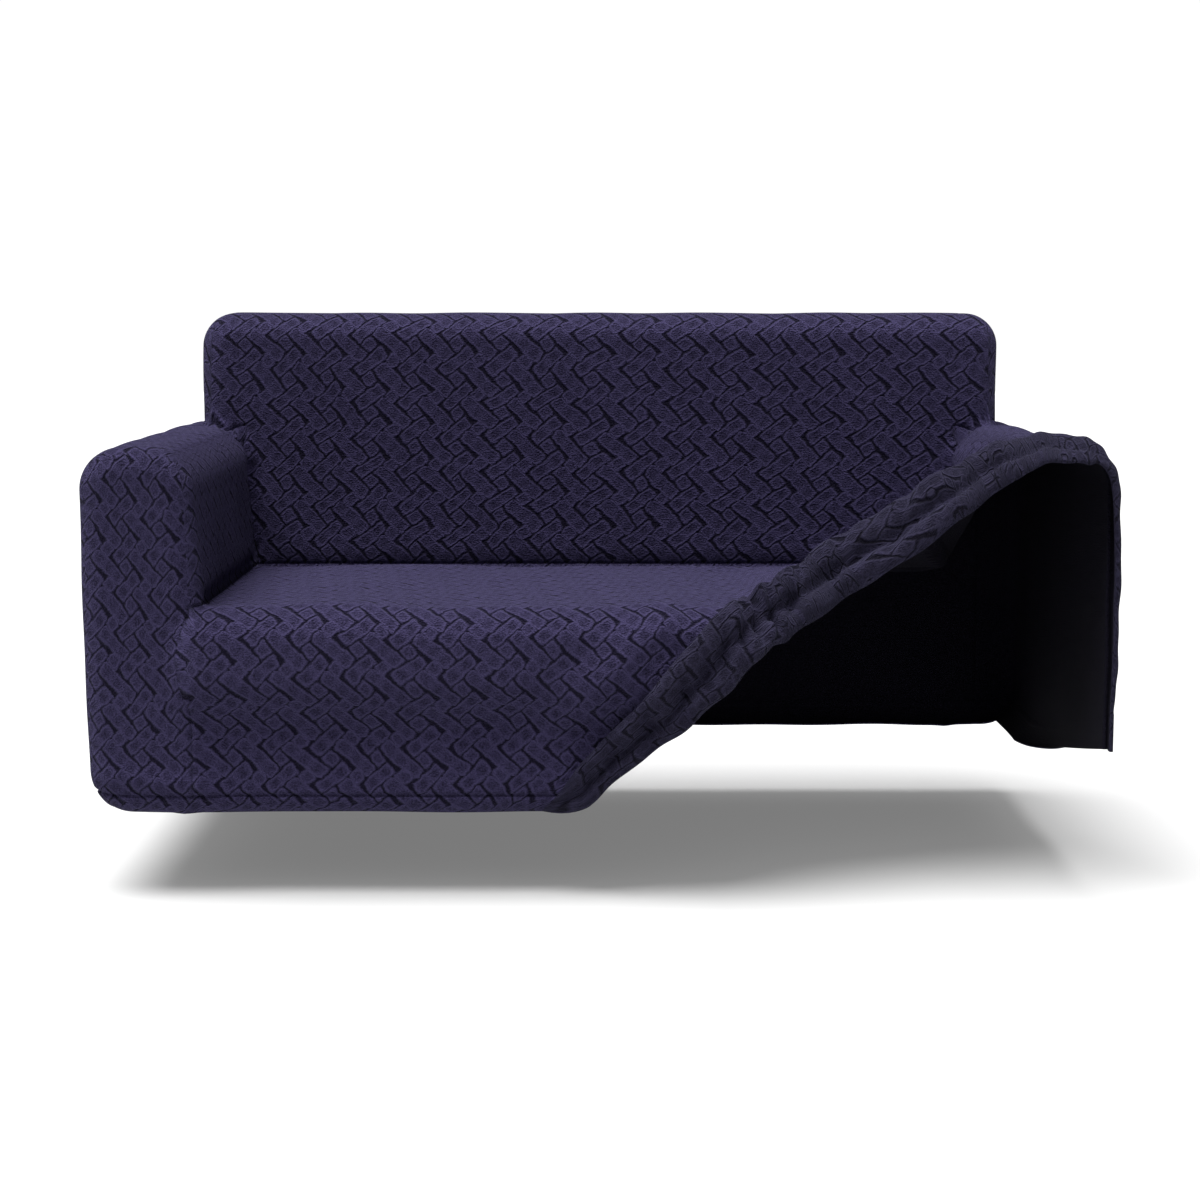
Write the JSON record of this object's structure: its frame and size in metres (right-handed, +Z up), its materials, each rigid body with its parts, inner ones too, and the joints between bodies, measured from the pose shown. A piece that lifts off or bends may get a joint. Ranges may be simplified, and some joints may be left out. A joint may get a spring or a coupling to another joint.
{
  "type": "sofa slipcover",
  "caption": "Fitted stretch slipcover for a small sofa in navy knit with a raised plaited pattern, its right front corner gathered up over the seat and arm.",
  "frame": {"origin": "on the sofa's centre line at the top of its back, just below the cover's underside, where the cover hangs on the sofa", "axes": "+X along the seat, to the right as seen from the front; +Y from the front to the back; +Z up"},
  "size_m": [1.5386, 0.8576, 0.7408],
  "materials": {
    "seat_panel_knit": "matte stretch knit",
    "left_arm_panel_knit": "matte stretch knit",
    "right_arm_panel_knit": "matte stretch knit",
    "back_panel_knit": "matte stretch knit"
  },
  "bodies": {
    "root": {"seat_panel": "seat_panel_knit", "left_arm_panel": "left_arm_panel_knit", "right_arm_panel": "right_arm_panel_knit", "back_panel": "back_panel_knit"}
  },
  "joints": []
}
